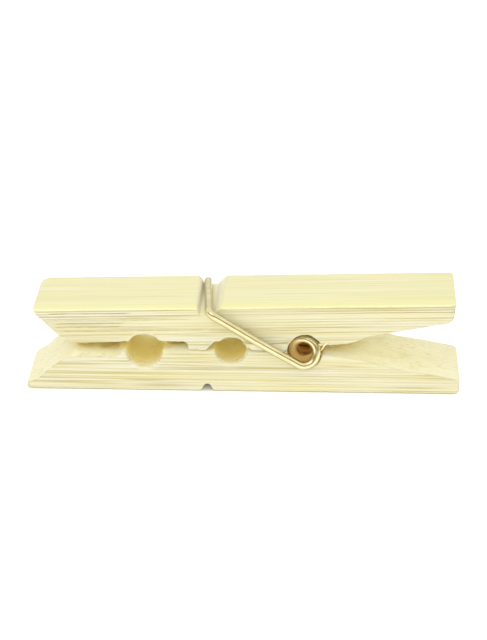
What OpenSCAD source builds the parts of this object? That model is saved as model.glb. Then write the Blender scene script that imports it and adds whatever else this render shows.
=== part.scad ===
// Spring clothespin: two notched wooden legs and one wound wire spring.
// Millimetres, +Z up. Jaws point to -X, handles to +X, the lower leg lies flat on z = 0.

/* [Legs] */
// Jaw tip of the lower leg to the spring's axis
jaw_reach = 46.35; // [36:0.05:58]
// Spring's axis to the handle end of the lower leg
handle_reach = 25.65; // [20:0.05:32]
// Width of each leg across the grain
leg_width = 12.9; // [8:0.1:16]
// Height of the plane where the two legs press on each other
lower_thickness = 7.25; // [6:0.05:9]
// How far the upper leg's jaw tip stands back from the lower one's
jaw_setback = 1.65; // [0:0.05:3]
// How far the upper leg's handle end stands back from the lower one's
handle_setback = 1.05; // [0:0.05:3]
// Upper leg's outer face above the contact plane, at the jaw tip
upper_jaw_height = 7.05; // [6:0.05:9]
// Upper leg's outer face above the contact plane, at the handle end
upper_handle_height = 8.9; // [7:0.05:11]
// Sideways offset of the upper leg from the lower one
side_offset = 0.33; // [0:0.01:0.6]
// Rounding of the legs' upright corners, seen from above
plan_corner = 0.9; // [0.3:0.05:1.5]

/* [Jaws] */
// Thickness left at the lower leg's jaw tip
lower_tip = 0.95; // [0.6:0.05:2]
// Thickness left at the upper leg's jaw tip
upper_tip = 1.0; // [0.6:0.05:2]
// Length of the lead-in bevel on the lower leg
lower_bevel = 8.4; // [6:0.1:10]
// Length of the lead-in bevel on the upper leg
upper_bevel = 6.6; // [5:0.1:9]
// Depth of the lower leg's relief behind its bevel
lower_relief = 0.8; // [0.4:0.05:1.5]
// Upper leg's thickness along the jaw, measured square to its outer face
upper_jaw_thickness = 6.15; // [5:0.05:6.6]

/* [Notches] */
// Line notch to the spring's axis
line_notch_reach = 26.5; // [23:0.1:30]
// Radius of the line notch
line_notch_radius = 3.05; // [2.4:0.05:3.8]
// How far the line notch's upper arc is pushed down, flattening it
line_notch_squash = 0.35; // [0:0.05:0.8]
// Cloth notch to the spring's axis
cloth_notch_reach = 12.15; // [11:0.05:14]
// Radius of the cloth notch
cloth_notch_radius = 2.7; // [2.2:0.05:3.2]
// How far the cloth notch's two arcs are pushed together, flattening it
cloth_notch_squash = 0.45; // [0:0.05:0.8]
// Jaw side of the upper leg's tooth, to the spring's axis
tooth_reach = 19.2; // [17.5:0.1:21]
// Length of the tooth's flat
tooth_length = 2.85; // [1.5:0.05:4]

/* [Spring] */
// Wire diameter
wire_diameter = 1.35; // [1:0.05:1.7]
// Mean radius of the coil
coil_radius = 2.0; // [1.7:0.02:2.8]
// Turns from one arm to the other
coil_turns = 5.5; // [4.5:1:8.5]
// Height of the coil's axis above the contact plane
coil_rise = -0.05; // [-0.3:0.05:0.4]
// Gap between the coil and the wood of its groove
coil_clearance = 0.22; // [0.1:0.01:0.5]
// Gap between each arm and the side of the legs
arm_clearance = 0.1; // [0.05:0.01:0.3]

/* [Outer slots] */
// Distance of the two slots from the spring's axis
slot_reach = 16.1; // [14.5:0.05:18]
// How deep the upper hook's wire sinks at the slot's front end, to its centre
upper_hook_front = 0.5; // [0.4:0.05:0.8]
// How deep the upper hook's wire sinks at the slot's back end, to its centre
upper_hook_back = 0.8; // [0.6:0.05:1.1]
// Height of the lower hook's centre at the front of the lower leg
lower_hook_front = 0.5; // [0.4:0.05:0.8]
// Height of the lower hook's centre at the back of the lower leg
lower_hook_back = 0.9; // [0.65:0.05:1.1]
// How far the upper hook's end drifts towards the jaws
hook_skew = 0.9; // [0:0.05:1.2]
// Upper hook's end to the far side of its leg
upper_hook_short = 0.5; // [0.2:0.1:3]
// Lower hook's end to the far side of its leg
lower_hook_short = 4.2; // [0.5:0.1:6]
// Upper slot's mouth
upper_slot_mouth = 4.8; // [4:0.1:6]
// Upper slot's flat floor
upper_slot_floor = 2.4; // [2.2:0.05:3]
// Gap around the lower hook in its rounded slot
lower_slot_clearance = 0.02; // [0.01:0.01:0.1]

/* [Part] */
// Sub-part to build

/* [Hidden] */
$fn = 96;
total_length = jaw_reach + handle_reach;
end_x = total_length / 2;
tip_x = -end_x;
pivot_x = end_x - handle_reach;
contact_z = lower_thickness;
coil_z = contact_z + coil_rise;
wire_r = wire_diameter / 2;
bend_r = wire_r * 1.04;
groove_r = coil_radius + wire_r + coil_clearance;
lower_y = -side_offset / 2;
upper_y = side_offset / 2;
arm_y = leg_width / 2 + side_offset / 2 + arm_clearance + wire_r;
upper_tip_x = tip_x + jaw_setback;
upper_end_x = end_x - handle_setback;
face_slope = atan2(upper_handle_height - upper_jaw_height, upper_end_x - upper_tip_x);
line_x = pivot_x - line_notch_reach;
cloth_x = pivot_x - cloth_notch_reach;
tooth_x = pivot_x - tooth_reach;
slot_x = pivot_x - slot_reach;
wood = [0.93, 0.87, 0.67];
metal = [0.72, 0.6, 0.3];

// height of the upper leg's outer face at a given x
function outer_z(x) = contact_z + upper_jaw_height + (x - upper_tip_x) * tan(face_slope);
// underside of the upper jaw, a fixed thickness below the outer face
function jaw_z(x) = outer_z(x) - upper_jaw_thickness / cos(face_slope);

// hooks and arms: each arm is tangent to the coil and meets its hook at a bend
upper_hook_y = upper_y + leg_width / 2 - upper_hook_short;
upper_bend = [slot_x + hook_skew / 2 + 0.1, -arm_y, outer_z(slot_x) - upper_hook_front];
upper_end = [slot_x - hook_skew / 2, upper_hook_y, outer_z(slot_x) - upper_hook_back];
lower_tilt = (lower_hook_back - lower_hook_front) / leg_width;
lower_hook_y = lower_y - leg_width / 2 + lower_hook_short;
function lower_hook_z(y) = lower_hook_front + (y - lower_y + leg_width / 2) * lower_tilt;
lower_bend = [slot_x, arm_y, lower_hook_z(arm_y)];
lower_end = [slot_x, lower_hook_y, lower_hook_z(lower_hook_y)];
// angle, in the side view, of the coil's point where an arm leaves it
function lift(p) = atan2(p[2] - coil_z, pivot_x - p[0]);
function reach(p) = norm([p[2] - coil_z, pivot_x - p[0]]);
upper_leave = lift(upper_bend) + asin(coil_radius / reach(upper_bend));
lower_leave = lift(lower_bend) - asin(coil_radius / reach(lower_bend));
start_angle = -90 - upper_leave;
stop_angle = start_angle + 360 * coil_turns
    + (90 - lower_leave) - (start_angle + 180);
function on_coil(a, y) = [pivot_x + coil_radius * cos(a), y, coil_z + coil_radius * sin(a)];

// prism with a side-view outline, running across the leg
module across(y, width) {
    translate([0, y, 0]) rotate([90, 0, 0]) linear_extrude(height = width, center = true) children();
}

// block whose upright corners are rounded
module plan_block(x0, x1, y, width, height, r) {
    y0 = y - width / 2;
    y1 = y + width / 2;
    translate([x0 + r, y0, -1]) cube([x1 - x0 - 2 * r, width, height + 2]);
    translate([x0, y0 + r, -1]) cube([x1 - x0, width - 2 * r, height + 2]);
    for (x = [x0 + r, x1 - r], yc = [y0 + r, y1 - r])
        translate([x, yc, -1]) cylinder(r = r, h = height + 2);
}

// round bar through the whole width, along Y
module cross_bar(x, z, r) {
    translate([x, 0, z]) rotate([90, 0, 0]) cylinder(r = r, h = leg_width * 2, center = true);
}

// straight length of wire between two points
module rod(a, b, r) {
    d = b - a;
    translate(a) rotate([0, acos(d[2] / norm(d)), atan2(d[1], d[0])]) cylinder(r = r, h = norm(d));
}

module lower_leg() {
    bevel = lower_bevel;
    relief_z = contact_z - lower_relief;
    color(wood) difference() {
        intersection() {
            across(lower_y, leg_width) polygon([
                [tip_x, 0],
                [tip_x, lower_tip],
                [tip_x + bevel * 0.23, lower_tip + (relief_z - lower_tip) * 0.15],
                [tip_x + bevel * 0.41, lower_tip + (relief_z - lower_tip) * 0.43],
                [tip_x + bevel * 0.62, lower_tip + (relief_z - lower_tip) * 0.68],
                [tip_x + bevel * 0.81, lower_tip + (relief_z - lower_tip) * 0.88],
                [tip_x + bevel, relief_z],
                [line_x - line_notch_radius * 1.6, relief_z],
                [line_x - line_notch_radius * 1.25, contact_z - lower_relief * 0.35],
                [line_x - line_notch_radius, contact_z],
                [pivot_x, contact_z],
                [pivot_x + groove_r - 0.1, contact_z - 0.45],
                [pivot_x + handle_reach * 0.265, contact_z * 0.885],
                [pivot_x + handle_reach * 0.395, contact_z * 0.82],
                [pivot_x + handle_reach * 0.525, contact_z * 0.69],
                [pivot_x + handle_reach * 0.61, contact_z * 0.6],
                [pivot_x + handle_reach * 0.766, contact_z * 0.515],
                [end_x - 0.2, contact_z * 0.355],
                [end_x, contact_z * 0.325],
                [end_x, 0.4],
                [end_x - 0.4, 0],
            ]);
            plan_block(tip_x, end_x, lower_y, leg_width, lower_thickness, plan_corner);
        }
        cross_bar(line_x, contact_z, line_notch_radius);
        cross_bar(cloth_x, contact_z + cloth_notch_squash, cloth_notch_radius);
        cross_bar(pivot_x, coil_z, groove_r);
        lower_slot();
    }
}

// rounded V that tilts with the lower hook
module lower_slot() {
    r = wire_r + lower_slot_clearance;
    a = atan(lower_tilt);
    translate([slot_x, lower_y, lower_hook_z(lower_y)]) rotate([a, 0, 0]) {
        rotate([90, 0, 0]) cylinder(r = r, h = leg_width * 1.5, center = true);
        rotate([90, 0, 0]) linear_extrude(height = leg_width * 1.5, center = true)
            polygon([[-r, 0], [r, 0], [r + 1.6, -2.4], [-r - 1.6, -2.4]]);
    }
}

module upper_leg() {
    tip_z = outer_z(upper_tip_x);
    lip_x = upper_tip_x + upper_bevel;
    rise = tip_z - upper_tip - jaw_z(lip_x);
    top_end = outer_z(upper_end_x);
    under = top_end - contact_z;
    reach = handle_reach - handle_setback;
    color(wood) difference() {
        intersection() {
            across(upper_y, leg_width) polygon([
                [upper_tip_x, tip_z],
                [upper_tip_x + 0.35, tip_z - upper_tip],
                [upper_tip_x + upper_bevel * 0.2, jaw_z(lip_x) + rise * 0.83],
                [upper_tip_x + upper_bevel * 0.49, jaw_z(lip_x) + rise * 0.43],
                [upper_tip_x + upper_bevel * 0.64, jaw_z(lip_x) + rise * 0.24],
                [lip_x, jaw_z(lip_x)],
                [tooth_x - 0.8, jaw_z(tooth_x - 0.8)],
                [tooth_x - 0.1, jaw_z(tooth_x) - 0.35],
                [tooth_x, contact_z],
                [tooth_x + tooth_length, contact_z],
                [tooth_x + tooth_length + 1.5, contact_z + 1.4],
                [cloth_x - cloth_notch_radius * 0.65, contact_z + 1.55],
                [cloth_x, contact_z + 1.5],
                [cloth_x + cloth_notch_radius * 0.5, contact_z],
                [pivot_x, contact_z],
                [pivot_x + groove_r * 0.92, contact_z + under * 0.14],
                [pivot_x + reach * 0.17, contact_z + under * 0.14],
                [pivot_x + reach * 0.27, contact_z + under * 0.165],
                [pivot_x + reach * 0.34, contact_z + under * 0.21],
                [pivot_x + reach * 0.385, contact_z + under * 0.274],
                [pivot_x + reach * 0.417, contact_z + under * 0.318],
                [pivot_x + reach * 0.504, contact_z + under * 0.363],
                [pivot_x + reach * 0.7, contact_z + under * 0.472],
                [pivot_x + reach * 0.953, contact_z + under * 0.607],
                [pivot_x + reach * 0.985, contact_z + under * 0.67],
                [pivot_x + reach * 0.994, contact_z + under * 0.753],
                [upper_end_x, top_end],
            ]);
            plan_block(upper_tip_x, upper_end_x, upper_y, leg_width, top_end, plan_corner);
        }
        cross_bar(line_x, contact_z - line_notch_squash, line_notch_radius);
        cross_bar(cloth_x, contact_z - cloth_notch_squash, cloth_notch_radius);
        cross_bar(pivot_x, coil_z, groove_r);
        upper_slot();
    }
}

// trough for the upper hook: steep towards the jaws, sloping away towards the spring
module upper_slot() {
    front = upper_hook_front;
    back = upper_hook_back;
    length = upper_hook_y + arm_y;
    a = atan((back - front) / length);
    depth = (front + (back - front) * (arm_y + upper_y) / length + wire_r) / cos(a);
    translate([slot_x, upper_y, outer_z(slot_x)]) rotate([0, -face_slope, 0]) rotate([-a, 0, 0])
        rotate([90, 0, 0]) linear_extrude(height = leg_width * 1.5, center = true) polygon([
            [-upper_slot_mouth * 0.36, 0.6],
            [-upper_slot_mouth * 0.36, 0],
            [-upper_slot_mouth * 0.28, -depth * 0.35],
            [-upper_slot_floor * 0.5, -depth],
            [upper_slot_floor * 0.5, -depth],
            [upper_slot_mouth * 0.42, -depth * 0.35],
            [upper_slot_mouth * 0.56, 0],
            [upper_slot_mouth * 0.56, 0.6],
        ]);
}

module spring_upper_arm() {
    color(metal) union() {
        rod(on_coil(start_angle, -arm_y), upper_bend, wire_r);
        translate(upper_bend) sphere(r = bend_r);
        rod(upper_bend, upper_end, wire_r);
    }
}

module spring_lower_arm() {
    color(metal) union() {
        rod(on_coil(stop_angle, arm_y), lower_bend, wire_r);
        translate(lower_bend) sphere(r = bend_r);
        rod(lower_bend, lower_end, wire_r);
    }
}

// coil: a swept ring that starts and ends flat, square to the two arms
sides = 12;
steps_per_turn = 24;
steps = round((stop_angle - start_angle) / 360 * steps_per_turn);
sweep = stop_angle - start_angle;
lead_in = 60;
function climb(a) =
    a < lead_in ? a * a / (2 * lead_in)
    : a > sweep - lead_in ? sweep - lead_in - (sweep - a) * (sweep - a) / (2 * lead_in)
    : a - lead_in / 2;
function climb_rate(a) =
    a < lead_in ? a / lead_in : a > sweep - lead_in ? (sweep - a) / lead_in : 1;
rise_per_degree = 2 * arm_y / (sweep - lead_in);
function ring(a) =
    let (c = on_coil(start_angle + a, -arm_y + climb(a) * rise_per_degree),
         out = [cos(start_angle + a), 0, sin(start_angle + a)],
         around = [-sin(start_angle + a), 0, cos(start_angle + a)],
         run = climb_rate(a) * rise_per_degree * 180 / PI / coil_radius,
         side = [-run * around[0], 1, -run * around[2]] / sqrt(1 + run * run))
    [for (i = [0 : sides - 1])
        c + wire_r * (cos(360 * i / sides) * out + sin(360 * i / sides) * side)];

module spring_coil() {
    points = [for (s = [0 : steps]) each ring(sweep * s / steps)];
    walls = [for (s = [0 : steps - 1], i = [0 : sides - 1])
        let (j = (i + 1) % sides)
        each [[s * sides + i, s * sides + j, (s + 1) * sides + j],
              [s * sides + i, (s + 1) * sides + j, (s + 1) * sides + i]]];
    first = [[for (i = [0 : sides - 1]) sides - 1 - i]];
    last = [[for (i = [0 : sides - 1]) steps * sides + i]];
    color(metal) polyhedron(points = points, faces = concat(walls, first, last), convexity = 10);
}

lower_leg();
upper_leg();
spring_coil();
spring_upper_arm();
spring_lower_arm();
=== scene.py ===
import bpy
import math
import numpy as np
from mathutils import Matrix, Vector
from mathutils.bvhtree import BVHTree


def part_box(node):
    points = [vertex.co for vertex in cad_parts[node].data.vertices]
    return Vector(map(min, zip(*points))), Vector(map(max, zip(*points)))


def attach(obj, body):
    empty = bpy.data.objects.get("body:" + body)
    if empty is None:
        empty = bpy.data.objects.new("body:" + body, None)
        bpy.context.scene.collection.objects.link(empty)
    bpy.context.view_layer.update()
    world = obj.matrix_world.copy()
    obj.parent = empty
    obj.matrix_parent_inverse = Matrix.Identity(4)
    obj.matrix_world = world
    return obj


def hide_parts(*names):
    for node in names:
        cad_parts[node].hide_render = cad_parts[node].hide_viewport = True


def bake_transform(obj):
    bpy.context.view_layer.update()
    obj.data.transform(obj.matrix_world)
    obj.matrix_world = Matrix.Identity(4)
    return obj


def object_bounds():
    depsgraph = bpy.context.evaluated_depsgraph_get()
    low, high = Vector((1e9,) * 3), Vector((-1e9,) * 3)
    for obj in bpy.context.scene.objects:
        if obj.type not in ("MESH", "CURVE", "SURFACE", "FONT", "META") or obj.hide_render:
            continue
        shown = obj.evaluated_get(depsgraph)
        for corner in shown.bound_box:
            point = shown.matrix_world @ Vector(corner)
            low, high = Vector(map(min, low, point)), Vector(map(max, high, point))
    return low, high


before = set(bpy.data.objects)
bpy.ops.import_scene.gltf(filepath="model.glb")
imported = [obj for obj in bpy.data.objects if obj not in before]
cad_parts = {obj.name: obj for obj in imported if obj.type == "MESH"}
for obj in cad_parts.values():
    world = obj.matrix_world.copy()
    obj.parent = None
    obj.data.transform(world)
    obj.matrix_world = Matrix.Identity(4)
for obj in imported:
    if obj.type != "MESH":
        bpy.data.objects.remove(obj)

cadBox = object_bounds()
mm = 0.001
print("frame loaded")


view = {
    "place": (16.22, -302.50, 157.00),     # mm
    "turn": (64.10, 0.555, 2.797),         # degrees
    "lens": 113.4,
}

studio = {
    # how high to look, from 0 straight down to 1 straight up, and the grey there
    "sky": ((0.0, 0.34), (0.55, 0.34), (0.61, 0.84), (0.85, 0.92)),
    # shiny things mirror a dark room in front and bright panels overhead
    "mirrorBright": (0.96, 0.96, 0.96, 1),
    "mirrorDark": (0.30, 0.22, 0.10, 1),
    "mirrorStops": (0.54, 0.61, 0.74, 0.81),   # bright, dark, dark, bright
    "mirrorFront": (0.15, -0.35),              # y of the view where the dark room fades in
    "keyPower": 0.59,
    "fillPower": 0.59 * 0.16,
    "frontPower": 1.15,
    "floorHalf": 4.0,                          # metres
    "floorDrop": 0.00003,
    "floorGlow": 0.42,
    "floorShade": (("X", 0.0350, 0.0366), ("Y", 0.0063, 0.0070)),
    "floorColour": (0.86, 0.86, 0.86, 1.0),
}


def addNode(tree, kind, values=None, **settings):
    node = tree.nodes.new(kind)
    for key, value in settings.items():
        setattr(node, key, value)
    for key, value in (values or {}).items():
        node.inputs[key].default_value = value
    return node


def joinAll(tree, *links):
    # each link is a node, its output, the next node and its input
    for source, output, target, entry in links:
        tree.links.new(source.outputs[output], target.inputs[entry])


def linkObject(name, data):
    thing = bpy.data.objects.new(name, data)
    bpy.context.collection.objects.link(thing)
    return thing


def makeCamera():
    data = bpy.data.cameras.new("camera")
    data.lens = view["lens"]
    data.sensor_width = 36.0
    data.clip_start = 0.01
    data.clip_end = 20.0
    camera = linkObject("camera", data)
    camera.location = [v * mm for v in view["place"]]
    camera.rotation_euler = [math.radians(v) for v in view["turn"]]
    bpy.context.scene.camera = camera


def makeLamp(name, place, aim, size, power, mirrored=True):
    data = bpy.data.lights.new(name, "AREA")
    data.shape = "DISK"
    data.size = size
    data.energy = power
    lamp = linkObject(name, data)
    lamp.location = place
    lamp.rotation_euler = (Vector(aim) - Vector(place)).to_track_quat("-Z", "Y").to_euler()
    lamp.visible_glossy = mirrored


def makeRamp(tree, stops, easing="LINEAR"):
    node = addNode(tree, "ShaderNodeValToRGB")
    ramp = node.color_ramp
    ramp.interpolation = easing
    while len(ramp.elements) < len(stops):
        ramp.elements.new(0.5)
    for element, (at, colour) in zip(ramp.elements, stops):
        element.position = at
        element.color = colour
    return node


def makeSky():
    world = bpy.data.worlds.new("studioSky")
    bpy.context.scene.world = world
    world.use_nodes = True
    tree = world.node_tree
    tree.nodes.clear()
    out = addNode(tree, "ShaderNodeOutputWorld")
    back = addNode(tree, "ShaderNodeBackground")
    coord = addNode(tree, "ShaderNodeTexCoord")
    split = addNode(tree, "ShaderNodeSeparateXYZ")
    height = addNode(tree, "ShaderNodeMapRange", {"From Min": -1.0})
    sky = makeRamp(tree, [(at, (grey, grey, grey, 1)) for at, grey in studio["sky"]], "EASE")
    bright, dark = studio["mirrorBright"], studio["mirrorDark"]
    mirrored = makeRamp(tree, list(zip(studio["mirrorStops"], (bright, dark, dark, bright))))
    start, stop = studio["mirrorFront"]
    inFront = addNode(tree, "ShaderNodeMapRange", {"From Min": start, "From Max": stop})
    share = addNode(tree, "ShaderNodeMath", operation="MULTIPLY")
    path = addNode(tree, "ShaderNodeLightPath")
    pick = addNode(tree, "ShaderNodeMix", data_type="RGBA")
    joinAll(tree, (coord, "Generated", split, 0), (split, "Z", height, "Value"),
            (height, "Result", sky, "Fac"), (height, "Result", mirrored, "Fac"),
            (split, "Y", inFront, "Value"), (path, "Is Glossy Ray", share, 0),
            (inFront, "Result", share, 1), (share, 0, pick, 0), (sky, "Color", pick, 6),
            (mirrored, "Color", pick, 7), (pick, 2, back, "Color"), (back, "Background", out, "Surface"))


def makeFloor():
    mesh = bpy.data.meshes.new("floor")
    s = studio["floorHalf"]
    mesh.from_pydata([(-s, -s, 0), (s, -s, 0), (s, s, 0), (-s, s, 0)], [], [(0, 1, 2, 3)])
    floor = linkObject("floor", mesh)
    floor.location.z = cadBox[0][2] - studio["floorDrop"]
    material = bpy.data.materials.new("floorPaper")
    material.use_nodes = True
    tree = material.node_tree
    shader = tree.nodes["Principled BSDF"]
    shader.inputs["Base Color"].default_value = studio["floorColour"]
    shader.inputs["Roughness"].default_value = 0.9
    shader.inputs["Specular IOR Level"].default_value = 0.1
    shader.inputs["Emission Color"].default_value = (1, 1, 1, 1)
    # painted light and shade: the floor glows, except in a box right under the lower leg, where it stays
    # darker
    coord = addNode(tree, "ShaderNodeTexCoord")
    split = addNode(tree, "ShaderNodeSeparateXYZ")
    larger = addNode(tree, "ShaderNodeMath", operation="MAXIMUM")
    joinAll(tree, (coord, "Object", split, 0), (larger, 0, shader, "Emission Strength"))
    for index, (axis, start, stop) in enumerate(studio["floorShade"]):
        size = addNode(tree, "ShaderNodeMath", operation="ABSOLUTE")
        fade = addNode(tree, "ShaderNodeMapRange",
                       {"From Min": start, "From Max": stop, "To Max": studio["floorGlow"]})
        joinAll(tree, (split, axis, size, 0), (size, 0, fade, "Value"), (fade, "Result", larger, index))
    mesh.materials.append(material)


makeCamera()
makeSky()
makeFloor()
makeLamp("keyLamp", (-0.25, -0.35, 0.75), (0, 0, 0.005), 0.45, studio["keyPower"])
makeLamp("frontLamp", (-0.04, -0.62, 0.33), (0, 0, 0.006), 0.34, studio["frontPower"], mirrored=False)
makeLamp("fillLamp", (0.55, -0.45, 0.45), (0, 0, 0.005), 0.35, studio["fillPower"])
bpy.context.scene.view_settings.view_transform = "Standard"
print("studio ready")


def softNoise(seed, x, y=0, z=0):
    # smooth random value, 0 to 1, at each place; y and z may be single numbers
    points = np.stack([np.broadcast_to(p, np.shape(x)).astype(float).ravel() for p in (x, y, z)], axis=1)
    cell = np.floor(points).astype(np.int64)
    part = points - cell
    part = part * part * (3 - 2 * part)
    total = np.zeros(len(points))
    for corner in range(8):
        step = np.array([corner & 1, (corner >> 1) & 1, (corner >> 2) & 1])
        at = cell + step
        h = (at[:, 0] * 73856093) ^ (at[:, 1] * 19349663) ^ (at[:, 2] * 83492791) ^ (seed * 26544357)
        h = (h ^ (h >> 13)) * 1274126177
        h = (h ^ (h >> 16)) & 0xFFFF
        weight = np.where(step, part, 1 - part).prod(axis=1)
        total += weight * h / 65535.0
    return total


def rise(at, start, width):
    # 0 up to start, then climbing to 1 over the width
    return np.clip((at - start) / width, 0, 1)


def between(at, start, stop, fadeIn, fadeOut):
    # 1 from start to stop, fading out at both ends
    return rise(at, start, fadeIn) * np.clip((stop - at) / fadeOut, 0, 1)


def hump(off):
    return np.exp(-off * off)


def meshFrom(name, points, faces):
    mesh = bpy.data.meshes.new(name)
    mesh.from_pydata([tuple(p) for p in points], [], faces)
    mesh.polygons.foreach_set("use_smooth", [True] * len(mesh.polygons))
    mesh.update()
    return linkObject(name, mesh)


def addAttribute(piece, name, values):
    layer = piece.data.attributes.new(name, "FLOAT", "POINT")
    layer.data.foreach_set("value", np.asarray(values, dtype=np.float32))


def normalsOf(piece):
    normals = np.zeros(len(piece.data.vertices) * 3)
    piece.data.vertex_normals.foreach_get("vector", normals)
    return normals.reshape(-1, 3)


def solidOf(*names):
    points, faces = [], []
    for name in names:
        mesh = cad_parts[name].data
        base = len(points)
        points += [v.co.copy() for v in mesh.vertices]
        faces += [tuple(base + k for k in p.vertices) for p in mesh.polygons]
    return BVHTree.FromPolygons(points, faces)


def enclosure(solid, xs, ys, heights, up):
    # share of a fan of rays that meets wood or wire, for a grid of places on one face
    count, goldenAngle, reach, lift = 44, 2.399963, 0.012, 0.06
    rays = []
    for k in range(count):
        steep = math.sqrt((k + 0.5) / count)
        turn = k * goldenAngle
        flat = math.sqrt(1 - steep * steep)
        rays.append(Vector((flat * math.cos(turn), flat * math.sin(turn), steep if up else -steep)))
    out = np.zeros(heights.shape)
    for i, x in enumerate(xs):
        for j, y in enumerate(ys):
            start = Vector((x, y, heights[i, j] + (lift if up else -lift))) * mm
            out[i, j] = sum(solid.ray_cast(start, ray, reach)[0] is not None for ray in rays) / count
    return out


def heightAt(solid, x, y, above):
    # z, in mm, where a straight drop onto the CAD solid lands
    start = Vector((x * mm, y * mm, 0.05 if above else -0.05))
    hit = solid.ray_cast(start, Vector((0, 0, -1 if above else 1)))[0]
    return None if hit is None else hit.z / mm


legs = {
    "lower_leg": {
        "name": "lowerLeg",
        "body": "lower_half",
        "outerIsTop": False,
        "grainSlope": 0.0,                       # degrees
        "seed": 11,
        "sawLines": 16,
        "sawDepth": 0.05,
        "chipped": ((-27.8, -20.6), (13.0, 14.6), (5.0, 7.6)),
        "wornFront": (0.55, -29.0, -19.5, 1.2, 1.6),   # depth, from, to, fades in mm
    },
    "upper_leg": {
        "name": "upperLeg",
        "body": "upper_half",
        "outerIsTop": True,
        "grainSlope": 1.53,
        "seed": 47,
        "sawLines": 19,
        "sawDepth": 0.06,
        "chipped": ((-1.4, 3.6), (11.8, 14.4), (-8.6, -6.0)),
    },
}

legShape = {
    "plankCorner": 0.9,       # mm, upright corners
    "wornCorner": 1.7,        # mm, the jaw end's back corner
    "endRound": 0.2,          # mm, arris round the end faces
    "outerArris": 0.2,
    "innerArris": 0.22,
    "rimArris": 0.62,         # where the notches come out at the sides
    "notches": ((-16.15, 3.3), (-1.8, 2.9)),     # middle, half width
    "slot": (-5.75, 4.5),
    "step": 0.05,             # mm between the heights read from the CAD
    "lanes": 9,               # places across where they are read
    "smoothing": 0.07,
    "station": 0.30,          # mm along the profile
    "rowsAcross": 34,
    "rowsUp": 106,
    "arcSteps": 4,
    "capRings": (0.12, 0.3, 0.55, 0.8),
}

gaps = {
    "open": ((-29.0, -18.9, 2.4, 2.0), (-13.7, -8.6, 1.0, 1.4)),   # from, to, fades
    "handle": (12.5, 1.0),
    "touching": ((-9.4, -5.6), (0.4, 8.4)),
    "lip": (-28.7, 0.9),
    "grid": 0.4,
}

relief = {
    "flank": 0.012,           # mm, all depths
    "skin": 0.014,
    "torn": 0.055,
    "end": 0.04,
    "corner": 0.03,
}

# the stretches of each outline
onTop, onBack, onBottom, onFront, onCorner, onEnd = range(6)
midLane = legShape["lanes"] // 2


def profileOf(node):
    # the CAD leg's heights along its length, at a few places across
    low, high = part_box(node)
    solid = solidOf(node)
    x0, x1 = low.x / mm, high.x / mm
    y0, y1 = low.y / mm, high.y / mm
    xs = np.append(np.arange(x0 + 0.001, x1, legShape["step"]), x1 - 0.001)
    inset = legShape["plankCorner"] + 0.05
    ys = np.linspace(y0 + inset, y1 - inset, legShape["lanes"])
    top, bottom = (np.array([[heightAt(solid, x, y, above) for y in ys] for x in xs], dtype=float)
                   for above in (True, False))
    return xs, ys, top, bottom, (x0, x1, y0, y1)


def smoothAlong(heights, sigma):
    step = legShape["step"]
    reach = int(3 * sigma / step) + 1
    kernel = np.exp(-0.5 * (np.arange(-reach, reach + 1) * step / sigma) ** 2)
    kernel /= kernel.sum()
    padded = np.pad(heights, ((reach, reach), (0, 0)), mode="edge")
    return np.stack([np.convolve(lane, kernel, mode="valid") for lane in padded.T], axis=1)


def lanesAt(x, xs, heights):
    return np.stack([np.interp(x, xs, lane) for lane in heights.T], axis=-1)


def sawPattern(s, t, seed, count):
    # parallel saw lines along the grain: s along, t from the outer face; returns 0 to 1
    rng = np.random.default_rng(seed)
    total = np.zeros_like(t)
    at, spacing = 0.42, 0.46
    for i in range(count):
        width = rng.uniform(0.045, 0.080)
        strength = rng.uniform(0.25, 1.0)
        wave = 0.06 * (softNoise(seed + i, s * 0.05, i) - 0.5)
        patch = softNoise(seed + 90 + i, s * 0.045, i * 3.1)
        patch = np.clip((patch - 0.22) * 2.2, 0.12, 1)
        total = np.maximum(total, strength * patch * hump((t - at - wave) / width))
        at += spacing * rng.uniform(0.75, 1.25)
    return total


def rangesOf(at, ranges):
    # 1 inside the given stretches, fading out at their ends
    total = np.zeros(len(at))
    for start, stop in ranges:
        total = np.maximum(total, between(at, start, stop, 0.8, 0.8))
    return total


def drawnIn(distance, radius):
    # how far a rounded corner is drawn in, by the distance from the face it ends on
    depth = radius - np.sqrt(np.clip(radius * radius - (radius - distance) ** 2, 0, None))
    return np.where(distance < radius, depth, 0)


def ringOf(left, right, topZ, bottomZ, radii):
    # one outline of the leg, from the top's front edge round, and the face each place is on
    topFront, topBack, bottomBack, bottomFront = radii
    arcs = np.linspace(0, math.pi / 2, legShape["arcSteps"] + 1)[1:-1]
    ring, zone = [], []

    def flat(start, stop, level, face):
        across = np.linspace(start, stop, legShape["rowsAcross"])
        ring.extend(zip(across, level(across)))
        zone.extend([face] * len(across))

    def upright(y, start, stop, face):
        up = np.linspace(start, stop, legShape["rowsUp"])
        ring.extend((y, z) for z in up)
        zone.extend([face] * len(up))

    def rounded(y, z, outward, upward, first, second):
        for a in arcs:
            ring.append((y + outward * first(a), z + upward * (1 - second(a))))
            zone.append(onCorner)

    sin, cos = math.sin, math.cos
    flat(left + topFront, right - topBack, topZ, onTop)
    rounded(right - topBack, topZ(right - topBack), topBack, -topBack, sin, cos)
    upright(right, topZ(right) - topBack, bottomZ(right) + bottomBack, onBack)
    rounded(right - bottomBack, bottomZ(right - bottomBack), bottomBack, bottomBack, cos, sin)
    flat(right - bottomBack, left + bottomFront, bottomZ, onBottom)
    rounded(left + bottomFront, bottomZ(left + bottomFront), -bottomFront, bottomFront, sin, cos)
    upright(left, bottomZ(left) + bottomFront, topZ(left) - topFront, onFront)
    rounded(left + topFront, topZ(left + topFront), -topFront, -topFront, cos, sin)
    return ring, zone


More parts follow.
